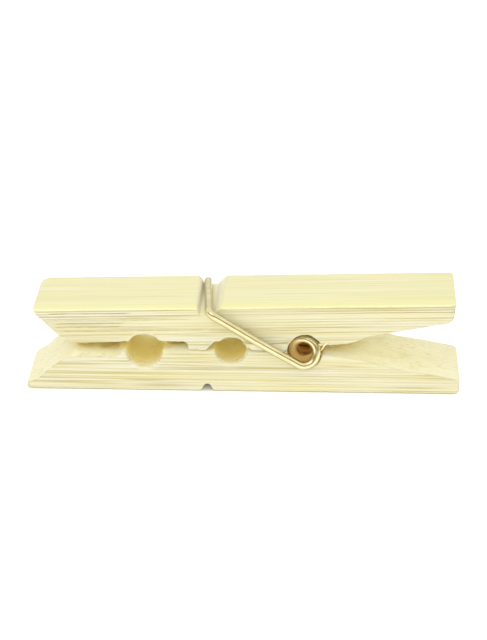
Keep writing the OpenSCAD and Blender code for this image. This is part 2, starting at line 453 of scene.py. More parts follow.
def closeEnds(points):
    # a few shrinking rings at each end, then a middle point
    count, size = points.shape[:2]
    capPoints, capFaces = [], []
    for index, way in ((0, 1), (count - 1, -1)):
        ring = points[index]
        middle = ring.mean(axis=0)
        previous = index * size
        for share in legShape["capRings"]:
            first = count * size + len(capPoints)
            capPoints += [p + (middle - p) * share for p in ring]
            for k in range(size):
                n = (k + 1) % size
                capFaces.append((previous + k, previous + n, first + n, first + k)[::way])
            previous = first
        tip = count * size + len(capPoints)
        capPoints.append(middle)
        for k in range(size):
            capFaces.append((previous + k, previous + (k + 1) % size, tip)[::way])
    return np.array(capPoints), capFaces


def gapShade(leg, xs, ys, heights, up, places, edges, inNotch):
    # painted shade for each place of an inner face: how shut in it is, from rays cast at the CAD parts, and
    # how deep it lies in an open gap
    px, py, _ = places
    x0, x1, y0, y1 = edges
    seed, grid = leg["seed"], gaps["grid"]
    gridX = np.arange(x0 + 0.1, x1, grid)
    share = smoothAlong(enclosure(everything, gridX, ys, lanesAt(gridX, xs, heights), up), 0.05)
    along = np.clip((px - gridX[0]) / grid, 0, len(gridX) - 1.001)
    over = np.clip((py - ys[0]) / (ys[1] - ys[0]), 0, legShape["lanes"] - 1.001)
    i, j = along.astype(int), over.astype(int)
    u, v = along - i, over - j
    value = ((share[i, j] * (1 - u) + share[i + 1, j] * u) * (1 - v)
             + (share[i, j + 1] * (1 - u) + share[i + 1, j + 1] * u) * v)
    nearEdge = np.minimum(py - y0, y1 - py)
    inGap = rise(nearEdge, 1.1, 2.7)
    inGap = inGap * inGap * (3 - 2 * inGap) * (1 - 0.7 * rise(px, 13, 6)) * (1 - inNotch)
    # deeper painted shade, brown, only inside the open gaps, with soft uneven limits, and never where the
    # legs touch
    here = rise(px, *gaps["handle"])
    for gap in gaps["open"]:
        here = np.maximum(here, between(px, *gap))
    here = here * (0.30 + 1.0 * softNoise(seed + 20, px * 0.7, py * 1.1))
    deep = value * inGap * here
    value = value * (1 - 0.85 * rangesOf(px, gaps["touching"]))
    blotches = softNoise(seed + 21, px * 0.8, py * 1.2)
    value = value * (1 - (1 - inNotch) * (0.04 + 0.24 * blotches))
    inFront = np.clip(0.5 + nearEdge / 3.0, 0, 1)
    inFront = inFront - (1 - inNotch) * (0.8 * np.clip(1 - nearEdge / 3.4, 0, 1))
    handleLess = 1 - 0.5 * rise(px, 14, 6)
    return value * handleLess * inFront * (0.6 + 0.4 * rise(px, *gaps["lip"])), deep


def makeLeg(node):
    leg, shape = legs[node], legShape
    seed, outerIsTop = leg["seed"], leg["outerIsTop"]
    xs, ys, top, bottom, edges = profileOf(node)
    x0, x1, y0, y1 = edges
    top, bottom = smoothAlong(top, shape["smoothing"]), smoothAlong(bottom, shape["smoothing"])
    inner, outer = (bottom, top) if outerIsTop else (top, bottom)
    innerMid, outerMid = inner[:, midLane], outer[:, midLane]
    # stations evenly spaced along the profile, so that walls get their share
    run = np.hypot(np.diff(xs), np.abs(np.diff(innerMid)) + 0.6 * np.abs(np.diff(outerMid)))
    length = np.concatenate([[0], np.cumsum(run)])
    at = np.interp(np.linspace(0, length[-1], int(length[-1] / shape["station"])), length, xs)
    at = at[(at > x0 + 0.3) & (at < x1 - 0.3)]
    near = np.array([0.0, 0.03, 0.08, 0.15, 0.24])
    at = np.unique(np.concatenate([x0 + 0.001 + near, at, x1 - 0.001 - near]))
    # how far each station's outline is drawn in by the rounded ends and corners
    fromEnd = np.minimum(at - x0, x1 - at)
    cornerIn = drawnIn(fromEnd, shape["plankCorner"])
    worn = shape["wornCorner"]
    cornerBack = np.where(at - x0 < worn, drawnIn(at - x0, worn), cornerIn)
    endIn = drawnIn(fromEnd, shape["endRound"])
    # rims: softer round the notches, uneven, and worn along the jaw's front edge
    notchy = np.zeros(len(at))
    for centre, half in shape["notches"]:
        notchy = np.maximum(notchy, np.clip(1.4 - np.abs(at - centre) / half, 0, 0.4) / 0.4)
    innerArris = shape["innerArris"] + (shape["rimArris"] - shape["innerArris"]) * notchy
    ragged = softNoise(seed + 9, at * 3.1, 3)
    chip = softNoise(seed + 5, at * 1.7) + rangesOf(at, leg["chipped"]) * (0.25 + 1.5 * ragged ** 2)
    chipBack = softNoise(seed + 6, at * 1.7, 7)
    wear = np.zeros(len(at))
    if "wornFront" in leg:
        depth, *stretch = leg["wornFront"]
        wear = depth * between(at, *stretch) * (0.75 + 0.5 * ragged)
    rings, zones = [], []
    for i, x in enumerate(at):
        zt, zb = lanesAt(x, xs, top), lanesAt(x, xs, bottom)
        left, right = y0 + cornerIn[i] + endIn[i], y1 - cornerBack[i] - endIn[i]
        thick = zt.mean() - zb.mean()
        outerR = min(shape["outerArris"] * (0.75 + 0.5 * chip[i]), thick * 0.3)
        innerR, innerBackR = (min(innerArris[i] * (0.7 + 0.6 * c[i]), thick * 0.3)
                              for c in (chip, chipBack))
        # top front, top back, bottom back, bottom front
        radii = (outerR, outerR, innerBackR, innerR) if outerIsTop else (innerR, innerBackR, outerR, outerR)
        pull = min(endIn[i], thick * 0.25)

        def topZ(y):
            return np.interp(y, ys, zt) - pull - wear[i] * np.clip(1 - (y - y0) / 2.3, 0, 1) ** 1.5

        def bottomZ(y):
            return np.interp(y, ys, zb) + pull

        ring, zone = ringOf(left, right, topZ, bottomZ, radii)
        rings.append([(x, y, z) for y, z in ring])
        zones.append(zone)
    points = np.array(rings)
    count, size = points.shape[:2]
    capPoints, capFaces = closeEnds(points)
    faces = []
    for i in range(count - 1):
        for k in range(size):
            n = (k + 1) % size
            faces.append((i * size + k, (i + 1) * size + k, (i + 1) * size + n, i * size + n))
    allPoints = np.concatenate([points.reshape(-1, 3), capPoints])
    zone = np.concatenate([np.array(zones).ravel(), np.full(len(capPoints), onEnd)])
    piece = meshFrom(leg["name"], allPoints * mm, faces + capFaces)

    def spread(values, atEnds=0.0):
        # one value for each outline, given to all its points, and one for the closed ends
        return np.concatenate([np.repeat(values, size), np.full(len(capPoints), atEnds)])

    places = px, py, pz = allPoints.T
    inNotch = np.interp(px, at, notchy)
    # painted shade on the inner faces, from how shut in each place is
    paintedShade, paintedGapShade = np.zeros(len(px)), np.zeros(len(px))
    for heights, up, face in ((top, True, onTop), (bottom, False, onBottom)):
        shaded, deep = gapShade(leg, xs, ys, heights, up, places, edges, inNotch)
        paintedShade = np.where(zone == face, shaded, paintedShade)
        paintedGapShade = np.where(zone == face, deep, paintedGapShade)
    # relief: saw lines on the sides, fine grain outside, torn fibres on the cut faces
    slope = (outerMid[-1] - outerMid[0]) / (xs[-1] - xs[0])
    t = np.abs(pz - (outerMid[0] + slope * (px - xs[0]) if outerIsTop else 0))
    front, back, corner, end = (zone == face for face in (onFront, onBack, onCorner, onEnd))
    outside = zone == (onTop if outerIsTop else onBottom)
    inside = zone == (onBottom if outerIsTop else onTop)
    side = front | back
    saw = np.where(front, sawPattern(px, t, seed, leg["sawLines"]), 0)
    saw = np.where(back, sawPattern(px, t, seed + 500, leg["sawLines"]), saw)
    if outerIsTop:
        saw = np.where(front, np.maximum(saw, np.maximum(deepLines(px, t), crackLine(px, pz))), saw)
    else:
        saw = saw * 0.75 * np.clip((4.9 - t) / 0.8, 0.15, 1)
    torn = (softNoise(seed + 3, px * 1.5, py * 3.4, pz * 3.0) * 0.6
            + softNoise(seed + 4, px * 4, py * 8, pz * 8) * 0.4)
    fine = relief["flank"] * softNoise(seed + 1, px * 0.12, py, t * 5.5)
    drop = np.where(side, leg["sawDepth"] * saw + fine, 0)
    drop += np.where(outside, relief["skin"] * softNoise(seed + 2, px * 0.06, py * 5.0), 0)
    drop += np.where(inside, relief["torn"] * torn, 0)
    drop += np.where(end, relief["end"] * softNoise(seed + 8, px * 3, py * 4.5, pz * 4.5), 0)
    drop += np.where(corner, relief["corner"] * torn, 0)
    piece.data.vertices.foreach_set("co", ((allPoints - normalsOf(piece) * drop[:, None]) * mm).ravel())
    piece.data.update()
    # marks that the wood and the fibres read
    outerArc = corner & (t < 0.3) & (py < (y0 + y1) / 2)
    skinArris = np.where(outside, np.clip(1 - (py - y0) / 4.2, 0, 1) ** 1.3, 0)
    # painted contact shadow: a dark line along the lower leg's bottom edge
    paintedContactShadow = (1 - rise(pz, 0, 0.16)) * (side | corner | end) * (not outerIsTop)
    rimLine = spread(np.interp(at, xs, innerMid), 1e3)
    paleRimAndPaintedLight = hump((pz - rimLine) / 0.55) * spread(notchy) * (0.12 if outerIsTop else 0.42) * (side | corner)
    if outerIsTop:
        tornStrip = between(px, -1.5, 8.0, 0.6, 0.6) * np.clip((8.72 - pz) / 0.2, 0, 1)
        paleRimAndPaintedLight = np.where(front, np.maximum(paleRimAndPaintedLight, 0.6 * tornStrip), paleRimAndPaintedLight)
    slotX, slotHalf = shape["slot"]
    # painted light: the slot's walls are painted pale so that they don't read as shaded
    paleRimAndPaintedLight = np.where(outside & (t > 0.22) & (np.abs(px - slotX) < slotHalf), 0.9, paleRimAndPaintedLight)
    edge = hump(np.minimum(py - y0, y1 - py) / 0.7)
    worked = spread(np.maximum(notchy, rangesOf(at, leg["chipped"])))
    patch = np.clip(1 - np.abs(px - 26) / 6, 0, 1)
    offEnds = np.clip((34.3 - np.abs(px)) / 0.6, 0, 1)
    fuzz = np.where(inside, offEnds * np.clip(0.03 + edge * worked + 0.12 * patch, 0, 1), 0)
    marks = {"paintedContactShadow": paintedContactShadow, "arris": np.where(outerArc, 0.8, skinArris), "paintedShade": paintedShade,
             "paintedGapShade": paintedGapShade, "flank": side | (corner & ~outerArc), "endGrain": end, "saw": saw,
             "cut": inside | end, "paleRimAndPaintedLight": paleRimAndPaintedLight, "fuzz": fuzz}
    for name, values in marks.items():
        addAttribute(piece, name, values)
    return piece


# x and z, in mm, of a torn line that runs from the cloth notch towards the coil
crack = ((-3.3, 9.75), (-1.2, 9.0), (0.5, 8.75), (3.4, 8.85), (4.7, 8.40), (5.8, 8.75), (7.9, 8.95))

# the rougher saw lines at the upper jaw's side: depth under the outer face, from, to, strength
roughLines = ((0.80, -32.5, -17.5, 1.0), (1.45, -31.5, -14.0, 0.55), (2.05, -33.0, -8.0, 0.5),
              (2.62, -31.5, -18.9, 1.0), (3.25, -31.6, -18.9, 0.95), (4.0, -30.0, 6.0, 0.75),
              (4.75, -29.0, -18.0, 0.4))


def crackLine(x, z):
    line = np.interp(x, *zip(*crack))
    wave = 0.08 * (softNoise(760, x * 2.2) - 0.5)
    return 0.9 * hump((z - line - wave) / 0.10) * between(x, -2.2, 7.9, 0.5, 0.5)


def deepLines(s, t):
    total = np.zeros_like(t)
    for i, (at, start, stop, strength) in enumerate(roughLines):
        wave = 0.10 * (softNoise(700 + i, s * 0.35, i) - 0.5)
        ragged = 0.6 + 0.6 * softNoise(730 + i, s * 1.6, i)
        share = np.clip(strength * between(s, start, stop, 1.2, 1.5) * ragged, 0, 1)
        total = np.maximum(total, share * hump((t - at - wave) / 0.09))
    return total


wood = {
    "pale": (0.905, 0.860, 0.600, 1),
    "cream": (0.865, 0.805, 0.480, 1),
    "flankPaleSawnAndPaintedShade": (0.740, 0.715, 0.555, 1),
    "flankCreamSawnAndPaintedShade": (0.750, 0.708, 0.465, 1),
    "tan": (0.660, 0.580, 0.245, 1),
    "cutPale": (0.955, 0.925, 0.700, 1),
    "sawDark": (0.410, 0.320, 0.050, 1),
    "contactShadowDark": (0.300, 0.235, 0.120, 1),
    "rimPaleAndPaintedLight": (0.945, 0.915, 0.700, 1),
    "skinYellow": (0.900, 0.868, 0.530, 1),
    "arrisYellow": (0.905, 0.880, 0.400, 1),
    # painted shade tones for shut-in places and deep gaps
    "paintedShadeBrown": (0.935, 0.790, 0.265, 1),
    "paintedGapShadeBrown": (0.560, 0.375, 0.070, 1),
    "skinGreen": (0.760, 0.750, 0.270, 1),
    "endPale": (0.960, 0.935, 0.770, 1),
    "fibreTan": (0.780, 0.680, 0.300, 1),
}


class Board:
    # small helper that adds and joins nodes of one material
    def __init__(self, name):
        self.material = bpy.data.materials.new(name)
        self.material.use_nodes = True
        self.tree = self.material.node_tree
        self.shader = self.tree.nodes["Principled BSDF"]

    def add(self, kind, values=None, **settings):
        return addNode(self.tree, "ShaderNode" + kind, values, **settings)

    def join(self, source, target):
        self.tree.links.new(source, target)

    def places(self):
        # the object's own places, in mm
        return self.stretched(self.add("TexCoord").outputs["Object"], (1000, 1000, 1000))

    def noise(self, vector, scale=1.0, detail=2.0, rough=0.5):
        node = self.add("TexNoise", {"Scale": scale, "Detail": detail, "Roughness": rough})
        self.join(vector, node.inputs["Vector"])
        return node.outputs["Fac"]

    def stretched(self, vector, stretch):
        node = self.add("VectorMath", {1: stretch}, operation="MULTIPLY")
        self.join(vector, node.inputs[0])
        return node.outputs[0]

    def ramp(self, value, low, high):
        node = self.add("MapRange", {"From Min": low, "From Max": high}, clamp=True)
        self.join(value, node.inputs["Value"])
        return node.outputs["Result"]

    def fill(self, value, socket):
        if isinstance(value, bpy.types.NodeSocket):
            self.join(value, socket)
        else:
            socket.default_value = value

    def mixColour(self, share, first, second):
        node = self.add("Mix", data_type="RGBA")
        for value, entry in ((share, 0), (first, 6), (second, 7)):
            self.fill(value, node.inputs[entry])
        return node.outputs[2]

    def sums(self, operation, first, second=0.0):
        node = self.add("Math", operation=operation)
        self.fill(first, node.inputs[0])
        self.fill(second, node.inputs[1])
        return node.outputs[0]

    def times(self, first, second):
        return self.sums("MULTIPLY", first, second)

    def tint(self, colour, amount, share, over):
        # lays one colour over another, by the amount times the share
        return self.mixColour(self.times(amount, share), colour, over)

    def attribute(self, name):
        return self.add("Attribute", attribute_name=name).outputs["Fac"]

    def roughness(self, value, low, high, more=None):
        node = self.add("MapRange", {"To Min": low, "To Max": high})
        self.join(value, node.inputs["Value"])
        result = node.outputs["Result"]
        self.join(self.sums("ADD", result, more) if more else result, self.shader.inputs["Roughness"])

    def bump(self, height, strength, distance):
        node = self.add("Bump", {"Strength": strength, "Distance": distance})
        self.join(height, node.inputs["Height"])
        self.join(node.outputs["Normal"], self.shader.inputs["Normal"])


def makeWood(name, slope, seed, outerZ):
    b = Board(name)
    coord = b.add("TexCoord")
    turn = b.add("Mapping", {"Rotation": (0, slope, 0), "Location": (0, seed * 0.37, seed * 0.11),
                             "Scale": (1000, 1000, 1000)}, vector_type="POINT")
    b.join(coord.outputs["Object"], turn.inputs["Vector"])
    grain = turn.outputs["Vector"]
    broad = b.ramp(b.noise(b.stretched(grain, (0.030, 0.50, 0.50))), 0.35, 0.65)
    strands = b.noise(b.stretched(grain, (0.035, 2.2, 2.2)), detail=3.0, rough=0.65)
    hairs = b.noise(b.stretched(grain, (0.07, 7.0, 7.0)))
    flecks = b.noise(b.stretched(grain, (0.40, 3.4, 3.4)), rough=0.6)
    flank, cut, saw, endGrain = (b.attribute(mark) for mark in ("flank", "cut", "saw", "endGrain"))
    colour = b.mixColour(broad, wood["pale"], wood["cream"])
    # the sides take a darker, greyer tone than the top: partly the sawn surface's own tone, partly painted
    # shade
    colour = b.mixColour(flank, colour, b.mixColour(broad, wood["flankPaleSawnAndPaintedShade"], wood["flankCreamSawnAndPaintedShade"]))
    # the outer skin is smoother and yellower, most of all along its front arris
    split = b.add("SeparateXYZ")
    b.join(b.add("NewGeometry").outputs["Normal"], split.inputs[0])
    facing = split.outputs["Z"] if outerZ > 0 else b.times(split.outputs["Z"], -1.0)
    skin = b.times(b.ramp(facing, 0.75, 0.95), b.sums("SUBTRACT", 1.0, cut))
    colour = b.tint(colour, skin, 0.38, wood["skinYellow"])
    streaks = b.ramp(b.noise(b.stretched(grain, (0.022, 4.2, 4.2)), rough=0.6), 0.50, 0.64)
    colour = b.tint(colour, streaks, b.times(skin, 0.55), wood["skinGreen"])
    colour = b.tint(colour, cut, 0.7, wood["cutPale"])
    strandShare = b.sums("ADD", b.times(flank, 0.30), 0.24)
    colour = b.tint(colour, b.ramp(strands, 0.48, 0.68), strandShare, wood["tan"])
    colour = b.tint(colour, b.ramp(hairs, 0.50, 0.70), b.times(strandShare, 0.8), wood["tan"])
    colour = b.tint(colour, b.ramp(flecks, 0.62, 0.78), 0.2, wood["tan"])
    colour = b.tint(colour, b.attribute("arris"), 0.75, wood["arrisYellow"])
    # thin lines left by the saw, and its deeper scores
    lines = b.noise(b.stretched(grain, (0.018, 0.35, 1.75)), detail=1.0)
    lines = b.ramp(b.sums("ABSOLUTE", b.sums("SUBTRACT", lines, 0.5)), 0.060, 0.012)
    lineShare = b.ramp(b.noise(b.stretched(grain, (0.06, 0.3, 0.9)), detail=1.0), 0.36, 0.64)
    colour = b.tint(colour, b.times(lines, lineShare), b.times(flank, 0.55), wood["sawDark"])
    colour = b.tint(colour, saw, 0.95, wood["sawDark"])
    # pale torn rims round the notches and along the upper jaw, and painted light on the slot walls
    colour = b.tint(colour, b.attribute("paleRimAndPaintedLight"), 0.7, wood["rimPaleAndPaintedLight"])
    # painted contact shadow along the lower leg's foot
    colour = b.tint(colour, b.attribute("paintedContactShadow"), 0.9, wood["contactShadowDark"])
    # torn, curly fibres on the cut faces, in patches
    bend = b.add("TexNoise", {"Scale": 0.45, "Detail": 1.0})
    b.join(grain, bend.inputs["Vector"])
    swirl = b.add("VectorMath", {"Scale": 3.2}, operation="SCALE")
    b.join(bend.outputs["Color"], swirl.inputs[0])
    bent = b.add("VectorMath", operation="ADD")
    b.join(b.stretched(grain, (0.35, 1.5, 1.5)), bent.inputs[0])
    b.join(swirl.outputs[0], bent.inputs[1])
    curls = b.noise(bent.outputs[0], 1.7, 3.0, 0.7)
    patches = b.ramp(b.noise(b.stretched(grain, (0.10, 0.25, 0.25)), detail=1.0), 0.40, 0.60)
    curlShare = b.times(b.times(cut, 0.55), patches)
    colour = b.tint(colour, b.ramp(curls, 0.50, 0.66), curlShare, wood["fibreTan"])
    # pores on the end grain
    pores = b.ramp(b.noise(b.stretched(grain, (0.3, 5.5, 5.5)), detail=1.0), 0.56, 0.66)
    colour = b.tint(colour, endGrain, 0.6, wood["endPale"])
    colour = b.tint(colour, pores, b.times(endGrain, 0.3), wood["fibreTan"])
    # painted shade: places the light hardly reaches are tinted browner, and deep in the open gaps browner
    # still
    colour = b.mixColour(b.ramp(b.attribute("paintedShade"), 0.35, 1.0), colour, wood["paintedShadeBrown"])
    colour = b.tint(colour, b.ramp(b.attribute("paintedGapShade"), 0.25, 0.85), 0.68, wood["paintedGapShadeBrown"])
    b.join(colour, b.shader.inputs["Base Color"])
    b.roughness(strands, 0.48, 0.78)
    b.shader.inputs["Specular IOR Level"].default_value = 0.25
    height = b.sums("ADD", b.times(strands, 0.6), b.times(hairs, 0.4))
    height = b.sums("SUBTRACT", height, b.times(saw, 0.8))
    height = b.sums("ADD", height, b.times(b.times(curls, cut), 0.9))
    b.bump(height, 0.6, 0.0001)
    return b.material


everything = solidOf(*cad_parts)
legPieces = {}
for node, leg in legs.items():
    piece = makeLeg(node)
    finish = makeWood(leg["name"] + "Wood", math.radians(leg["grainSlope"]), leg["seed"],
                      1 if leg["outerIsTop"] else -1)
    piece.data.materials.append(finish)
    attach(piece, legs[node]["body"])
    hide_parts(node)
    legPieces[node] = piece
    print(leg["name"], "made:", len(piece.data.polygons), "faces")


spring = {
    "wireRadius": 0.675,      # mm, as all lengths here
    "coilRadius": 2.0,
    "coilX": 10.35,
    "coilZ": 7.2,
    "armY": 7.39,
    "turns": 5.5,
    "bendRadius": 1.25,
    "dive": 0.7,              # how far the outermost turns lean inwards
    "dent": 0.012,
    "wireSides": 20,
    "upperBend": (-5.2, -7.39, 14.563),
    "upperEnd": (-6.2, 6.115, 14.263),
    "lowerBend": (-5.75, 7.39, 0.934),
    "lowerEnd": (-5.75, -2.415, 0.63),
}


def straight(a, b, step=0.25, bow=0.0):
    # places along a length of wire that sags a little
    a, b = np.array(a, float), np.array(b, float)
    n = max(2, int(np.linalg.norm(b - a) / step))
    shares = [i / n for i in range(n + 1)]
    return [a + (b - a) * u + np.array([0, 0, -bow * math.sin(math.pi * u) ** 2]) for u in shares]


def rounded(a, corner, b, r):
    # a smooth elbow of bend radius r at the corner between two straight lengths
    a, corner, b = (np.array(v, float) for v in (a, corner, b))
    u, v = (a - corner) / np.linalg.norm(a - corner), (b - corner) / np.linalg.norm(b - corner)
    half = math.acos(float(np.clip(u @ v, -1, 1))) / 2
    back = r / math.tan(half)
    middle = corner + (u + v) / np.linalg.norm(u + v) * r / math.sin(half)
    first, last = corner + u * back, corner + v * back
    p, q = first - middle, last - middle
    angle = math.acos(float(np.clip(p @ q / (r * r), -1, 1)))
    steps = 12
    elbow = []
    for i in range(steps + 1):
        w = i / steps
        elbow.append(middle + (math.sin((1 - w) * angle) * p + math.sin(w * angle) * q) / math.sin(angle))
    return first, elbow, last


def springPath():
    c = spring
    centre = np.array([c["coilX"], 0, c["coilZ"]])

    def leave(p, side):
        up, back = p[2] - c["coilZ"], c["coilX"] - p[0]
        return math.atan2(up, back) + side * math.asin(c["coilRadius"] / math.hypot(up, back))

    start = -math.pi / 2 - leave(c["upperBend"], 1)
    lowerLeave = leave(c["lowerBend"], -1)
    sweep = 2 * math.pi * c["turns"] + (math.pi / 2 - lowerLeave) - (start + math.pi)
    lead = math.pi / 3
    span = 2 * math.pi * 1.33
    climbRate = 2 * c["armY"] / (sweep - lead)
    coil = []
    for a in np.linspace(0, sweep, int(sweep / math.radians(6))):
        if a < lead:
            climb = a * a / (2 * lead)
        elif a > sweep - lead:
            climb = sweep - lead - (sweep - a) ** 2 / (2 * lead)
        else:
            climb = a - lead / 2
        dives = [math.sin(math.pi * min(way, span) / span) ** 2 for way in (a, sweep - a)]
        y = -c["armY"] + climb * climbRate + c["dive"] * (dives[0] - dives[1])
        wobble = 0.02 * math.sin(a * 0.83 + 1.0) + 0.012 * math.sin(a * 2.3)
        radius = c["coilRadius"] + (wobble if lead < a < sweep - lead else 0)
        turn = start + a
        coil.append(centre + np.array([radius * math.cos(turn), y, radius * math.sin(turn)]))
    first, elbow, last = rounded(c["upperEnd"], c["upperBend"], coil[0], c["bendRadius"])
    path = straight(c["upperEnd"], first)[:-1] + elbow + straight(last, coil[0], bow=0.12)[1:-1] + coil
    first, elbow, last = rounded(coil[-1], c["lowerBend"], c["lowerEnd"], c["bendRadius"])
    path += straight(coil[-1], first, bow=-0.1)[1:-1] + elbow + straight(last, c["lowerEnd"])[1:]
    return np.array(path)


def makeTree(name, takes, gives, floats, numbers):
    # a node tree with its sockets, and the nodes where things enter and leave
    tree = bpy.data.node_groups.new(name, "GeometryNodeTree")
    sockets = [(takes, "INPUT", "Geometry", None)]
    sockets += [(label, "INPUT", "Float", value) for label, value in floats.items()]
    sockets += [(label, "INPUT", "Int", value) for label, value in numbers.items()]
    sockets += [("Finish", "INPUT", "Material", None), (gives, "OUTPUT", "Geometry", None)]
    for label, way, kind, value in sockets:
        socket = tree.interface.new_socket(label, in_out=way, socket_type="NodeSocket" + kind)
        if value is not None:
            socket.default_value = value
    return tree, addNode(tree, "NodeGroupInput"), addNode(tree, "NodeGroupOutput")


def makeWireTree():
    tree, entry, leave = makeTree("woundWire", "Path", "Wire", {"Wire Radius": 0.00065, "Dent": 0.000008},
                                  {"Sides": 20, "Seed": 3})
    circle = addNode(tree, "GeometryNodeCurvePrimitiveCircle")
    sweep = addNode(tree, "GeometryNodeCurveToMesh", {"Fill Caps": True})
    place = addNode(tree, "GeometryNodeInputPosition")
    normal = addNode(tree, "GeometryNodeInputNormal")
    noise = addNode(tree, "ShaderNodeTexNoise", noise_dimensions="4D")
    noise.inputs["Scale"].default_value = 900.0
    offset = addNode(tree, "ShaderNodeMath", {1: 0.5}, operation="SUBTRACT")
    depth = addNode(tree, "ShaderNodeMath", operation="MULTIPLY")
    push = addNode(tree, "ShaderNodeVectorMath", operation="SCALE")
    move = addNode(tree, "GeometryNodeSetPosition")
    real = addNode(tree, "GeometryNodeRealizeInstances")
    smooth = addNode(tree, "GeometryNodeSetShadeSmooth")
    finish = addNode(tree, "GeometryNodeSetMaterial")
    joinAll(tree, (entry, "Path", sweep, "Curve"), (entry, "Sides", circle, "Resolution"),
            (entry, "Wire Radius", circle, "Radius"), (circle, "Curve", sweep, "Profile Curve"),
            (sweep, "Mesh", move, "Geometry"), (place, 0, noise, "Vector"), (entry, "Seed", noise, "W"),
            (noise, "Fac", offset, 0), (offset, 0, depth, 0), (entry, "Dent", depth, 1),
            (normal, 0, push, 0), (depth, 0, push, "Scale"), (push, 0, move, "Offset"),
            (move, "Geometry", smooth, "Geometry"), (smooth, "Geometry", real, "Geometry"),
            (real, "Geometry", finish, "Geometry"), (entry, "Finish", finish, "Material"),
            (finish, "Geometry", leave, "Wire"))
    return tree


def bakeTree(source, tree, values, name):
    # runs a node tree on an object and returns the result as a plain mesh object
    modifier = source.modifiers.new("tree", "NODES")
    modifier.node_group = tree
    for item in tree.interface.items_tree:
        if item.item_type == "SOCKET" and item.in_out == "INPUT" and item.name in values:
            modifier[item.identifier] = values[item.name]
    graph = bpy.context.evaluated_depsgraph_get()
    graph.update()
    mesh = bpy.data.meshes.new_from_object(source.evaluated_get(graph), depsgraph=graph)
    mesh.name = name
    source.modifiers.clear()
    return linkObject(name, mesh)


metal = {
    "bright": (0.930, 0.870, 0.540, 1),
    "warm": (0.840, 0.740, 0.400, 1),
    "dull": (0.420, 0.330, 0.160, 1),
    "edge": (0.250, 0.180, 0.055, 1),
    "inner": (1.000, 0.720, 0.290, 1),
    "roughLow": 0.14,
    "roughHigh": 0.30,
}


def makeMetal():
    b = Board("yellowWire")
    places = b.places()
    cloud = b.noise(places, 0.5, 3.0, 0.6)
    speck = b.noise(places, 5.0, 2.0, 0.6)
    drawn = b.noise(places, 14.0, 1.0)
    inner = b.attribute("inner")
    colour = b.mixColour(b.ramp(cloud, 0.3, 0.7), metal["bright"], metal["warm"])
    colour = b.tint(colour, b.ramp(speck, 0.62, 0.75), 0.35, metal["dull"])
    # painted shade: darker underneath and where it faces the wood
    colour = b.tint(colour, b.attribute("paintedWireShade"), 0.6, metal["edge"])
    # painted shade: the turns inside the groove are tinted copper brown
    colour = b.tint(colour, inner, 0.8, metal["inner"])
    b.join(colour, b.shader.inputs["Base Color"])
    b.roughness(speck, metal["roughLow"], metal["roughHigh"], b.times(inner, 0.42))
    b.shader.inputs["Metallic"].default_value = 1.0
    b.bump(drawn, 0.12, 0.00002)
    return b.material


def makeSpring():
    path = springPath()
    curve = bpy.data.curves.new("springPath", "CURVE")
    curve.dimensions = "3D"
    spline = curve.splines.new("POLY")
    spline.points.add(len(path) - 1)
    for point, place in zip(spline.points, path):
        point.co = (*(place * mm), 1)
    source = linkObject("springPath", curve)
    values = {"Wire Radius": spring["wireRadius"] * mm, "Sides": spring["wireSides"], "Seed": 3,
              "Dent": spring["dent"] * mm, "Finish": makeMetal()}
    piece = bakeTree(source, makeWireTree(), values, "springWire")
    bpy.data.objects.remove(source)
    places = np.zeros(len(piece.data.vertices) * 3)
    piece.data.vertices.foreach_get("co", places)
    x, y, z = places.reshape(-1, 3).T / mm
    # painted shade: marks the coil's middle turns, which lie in the groove, for a copper-brown tint
    inCoil = np.hypot(x - spring["coilX"], z - spring["coilZ"]) < 3.2
    addAttribute(piece, "inner", np.clip((6.0 - np.abs(y)) / 0.7, 0, 1) * inCoil)
    nx, ny, nz = normalsOf(piece).T
    # painted shade: darker where the wire faces the wood or turns down, and on the hook's sides in its slot
    towardsWood = -ny * np.sign(y) * rise(np.abs(y), 5.8, 0.6)
    paintedWireShade = np.maximum(rise(towardsWood, -0.15, 0.55), 0.9 * np.clip((0.15 - nz) / 0.85, 0, 1))
    hooked = (np.abs(y) < 6.6) & (x < 0)
    addAttribute(piece, "paintedWireShade", np.where(hooked, rise(np.abs(nx), 0.68, 0.3), paintedWireShade))
    return piece


springWire = makeSpring()
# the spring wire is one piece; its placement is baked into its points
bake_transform(springWire)
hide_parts("spring_coil", "spring_upper_arm", "spring_lower_arm")
print("spring wound:", len(springWire.data.polygons), "faces")


fibres = {
    "density": 5.5e6,          # per square metre where the fuzz attribute is 1
    "length": 1.3,             # mm
    "thickness": 0.065,        # mm
    "pale": (0.930, 0.890, 0.640, 1),
    "brown": (0.760, 0.650, 0.300, 1),
    "paintedShadowBlack": (0.060, 0.040, 0.012, 1),
    "paintedShadowBrown": (0.240, 0.180, 0.060, 1),
}


